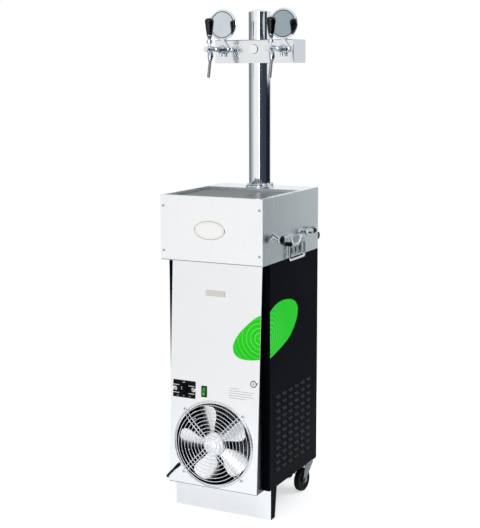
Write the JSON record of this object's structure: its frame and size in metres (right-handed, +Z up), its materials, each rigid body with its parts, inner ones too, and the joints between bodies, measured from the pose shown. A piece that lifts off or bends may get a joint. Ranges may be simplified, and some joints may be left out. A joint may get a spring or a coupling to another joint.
{
  "type": "mobile_beer_cooler",
  "caption": "Free-standing mobile beer cooler: black louvred cabinet with sloping stainless front, guarded fan, drip tray, column with cross bar and levered taps, rear casters.",
  "frame": {"origin": "middle of the front foot's bottom face, on the floor", "axes": "+X to the right as seen from the front, +Y to the back, +Z up"},
  "size_m": [0.4371, 0.6178, 1.6335],
  "materials": {
    "polished_sheet": "polished stainless sheet",
    "brushed_sheet": "plain stainless",
    "black_paint": "satin black powder coat",
    "grey_paint": "grey coated steel",
    "chrome": "bright chrome plate",
    "zinc_steel": "zinc plated steel",
    "aluminium": "mill finish",
    "copper_brass": "copper tube",
    "black_plastic": "moulded black",
    "gloss_black": "glossy black",
    "green_plastic": "translucent green",
    "grey_plate": "bare plate",
    "lens_plastic": "clear lens over grey",
    "white_foam": "rigid foam",
    "black_rubber": "black rubber",
    "wheel_rubber": "dark grey rubber"
  },
  "bodies": {
    "cooler": {"chassis_frame": "black_paint", "right_side_panel": "black_paint", "left_side_panel": "black_paint", "rear_panel": "black_paint", "front_cover": "polished_sheet", "foot_plate": "polished_sheet", "foot_bracket": "black_paint", "head_box": "polished_sheet", "drip_tray": "polished_sheet", "bath_tank": "brushed_sheet", "bath_insulation": "white_foam", "agitator_motor": "grey_paint", "product_lines": "brushed_sheet", "refrigerant_lines": "copper_brass", "compressor": "black_paint", "condenser": "aluminium", "fan_shroud": "black_paint", "fan_motor": "grey_paint", "fan_guard": "grey_paint", "thermostat_plate": "black_plastic", "switch_housing": "black_plastic", "name_plates": "grey_plate", "screws": "brushed_sheet", "column_flange": "chrome", "column_tube": "polished_sheet", "tower_caps": "polished_sheet", "tap_bar": "polished_sheet", "tap_shanks": "chrome", "tap_bodies": "chrome", "tap_spouts": "chrome", "medallions": "chrome", "medallion_lenses": "lens_plastic", "side_pipes": "chrome", "union_cap": "chrome", "carry_plates": "zinc_steel", "push_bar": "polished_sheet", "rubber_trims": "black_rubber", "caster_plates": "zinc_steel", "cord_gland": "black_plastic", "cord_tube": "black_rubber", "cord_coil": "black_rubber", "cord_tail": "black_rubber", "cord_plug": "black_plastic"},
    "grid": {"drip_grid": "brushed_sheet"},
    "left_lever": {"lever_left": "chrome", "lever_grip_left": "gloss_black"},
    "right_lever": {"lever_right": "chrome", "lever_grip_right": "gloss_black"},
    "knob": {"thermostat_knob": "black_plastic"},
    "rocker": {"switch_rocker": "green_plastic"},
    "lock": {"cover_lock": "chrome"},
    "fan": {"fan_blades": "aluminium"},
    "agitator": {"agitator_impeller": "black_plastic"},
    "left_bail": {"carry_bail_left": "zinc_steel"},
    "right_bail": {"carry_bail_right": "zinc_steel"},
    "valve": {"side_valve_knob": "black_plastic"},
    "left_fork": {"caster_fork_left": "zinc_steel"},
    "right_fork": {"caster_fork_right": "zinc_steel"},
    "left_wheel": {"caster_wheel_left": "wheel_rubber"},
    "right_wheel": {"caster_wheel_right": "wheel_rubber"}
  },
  "joints": [
    {"name": "grid_lift", "type": "slide", "parent": "cooler", "child": "grid", "axis": [0, 0, 1], "range_m": [0, 0.15]},
    {"name": "left_lever_tilt", "type": "hinge", "parent": "cooler", "child": "left_lever", "pos_m": [-0.11, 0.122, 1.5035], "axis": [1, 0, 0], "range_deg": [-12, 30]},
    {"name": "right_lever_tilt", "type": "hinge", "parent": "cooler", "child": "right_lever", "pos_m": [0.11, 0.122, 1.5035], "axis": [1, 0, 0], "range_deg": [-12, 30]},
    {"name": "knob_turn", "type": "hinge", "parent": "cooler", "child": "knob", "pos_m": [-0.1088, -0.0715, 0.419], "axis": [0, 0.9983, -0.059], "range_deg": [0, 300]},
    {"name": "rocker_tip", "type": "hinge", "parent": "cooler", "child": "rocker", "pos_m": [-0.036, -0.0695, 0.41888], "axis": [1, 0, 0], "range_deg": [0, 12]},
    {"name": "lock_turn", "type": "hinge", "parent": "cooler", "child": "lock", "pos_m": [0.1405, -0.06884, 0.464], "axis": [0, 0.9983, -0.059], "range_deg": [0, 90]},
    {"name": "fan_spin", "type": "hinge", "parent": "cooler", "child": "fan", "pos_m": [0, -0.08149, 0.25], "axis": [0, -0.9983, 0.059], "continuous": true},
    {"name": "agitator_spin", "type": "hinge", "parent": "cooler", "child": "agitator", "pos_m": [0, 0.153, 0.6], "axis": [0, 0, 1], "continuous": true},
    {"name": "left_bail_swing", "type": "hinge", "parent": "cooler", "child": "left_bail", "pos_m": [-0.187, 0.156, 0.888], "axis": [0, 1, 0], "range_deg": [0, 95]},
    {"name": "right_bail_swing", "type": "hinge", "parent": "cooler", "child": "right_bail", "pos_m": [0.187, 0.156, 0.888], "axis": [0, -1, 0], "range_deg": [0, 95]},
    {"name": "valve_turn", "type": "hinge", "parent": "cooler", "child": "valve", "pos_m": [0.208, 0.003, 0.915], "axis": [1, 0, 0], "range_deg": [0, 270]},
    {"name": "left_swivel", "type": "hinge", "parent": "cooler", "child": "left_fork", "pos_m": [-0.155, 0.301, 0.09], "axis": [0, 0, 1], "continuous": true},
    {"name": "left_roll", "type": "hinge", "parent": "left_fork", "child": "left_wheel", "pos_m": [-0.15709, 0.28111, 0.04], "axis": [0.9945, -0.1045, 0], "continuous": true},
    {"name": "right_swivel", "type": "hinge", "parent": "cooler", "child": "right_fork", "pos_m": [0.155, 0.301, 0.09], "axis": [0, 0, 1], "continuous": true},
    {"name": "right_roll", "type": "hinge", "parent": "right_fork", "child": "right_wheel", "pos_m": [0.15291, 0.28111, 0.04], "axis": [0.9945, -0.1045, 0], "continuous": true}
  ]
}
